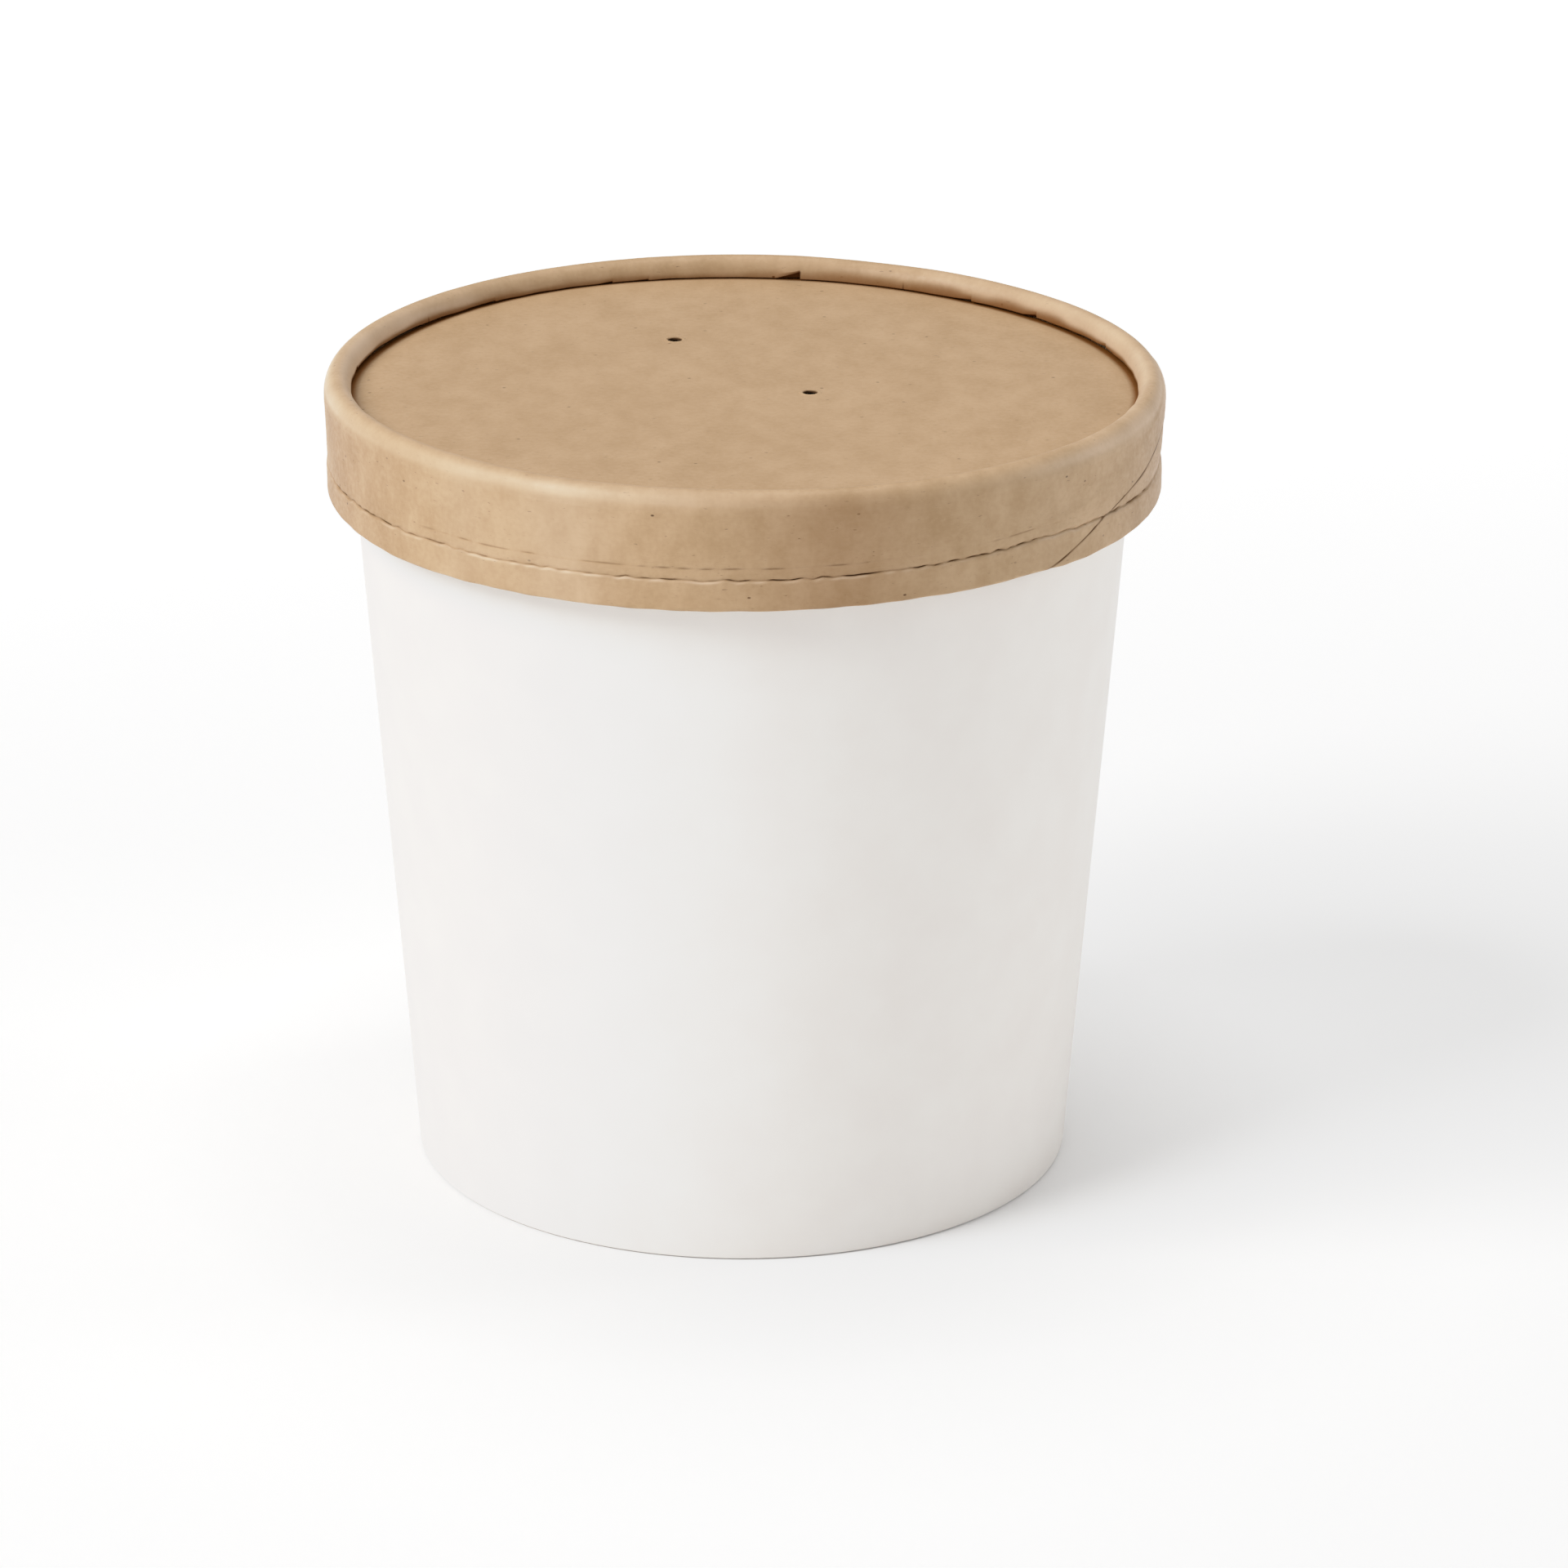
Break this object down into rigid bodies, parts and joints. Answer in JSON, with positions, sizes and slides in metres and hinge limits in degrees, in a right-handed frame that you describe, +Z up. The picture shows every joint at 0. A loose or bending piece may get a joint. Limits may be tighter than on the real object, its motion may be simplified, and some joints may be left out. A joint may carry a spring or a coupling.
{
  "type": "paper soup cup with lid",
  "caption": "Tapered white paper soup cup with a recessed base, shut with a round kraft paper lid that has a rolled rim, a hemmed band and steam vents.",
  "frame": {"origin": "middle of the foot, on the surface that the cup stands on", "axes": "+Z up along the cup's axis, -Y towards the front that the picture shows, +X to the right"},
  "size_m": [0.1014, 0.1014, 0.0998],
  "materials": {
    "white_paper": "smooth coated paper, matt with a faint sheen",
    "kraft_band": "matt unbleached kraft board with fine fibres, creased along the hem",
    "kraft_disc": "matt unbleached kraft board with fine fibres, flat"
  },
  "bodies": {
    "root": {"cup": "white_paper", "lid_band": "kraft_band", "lid_disc": "kraft_disc"}
  },
  "joints": []
}
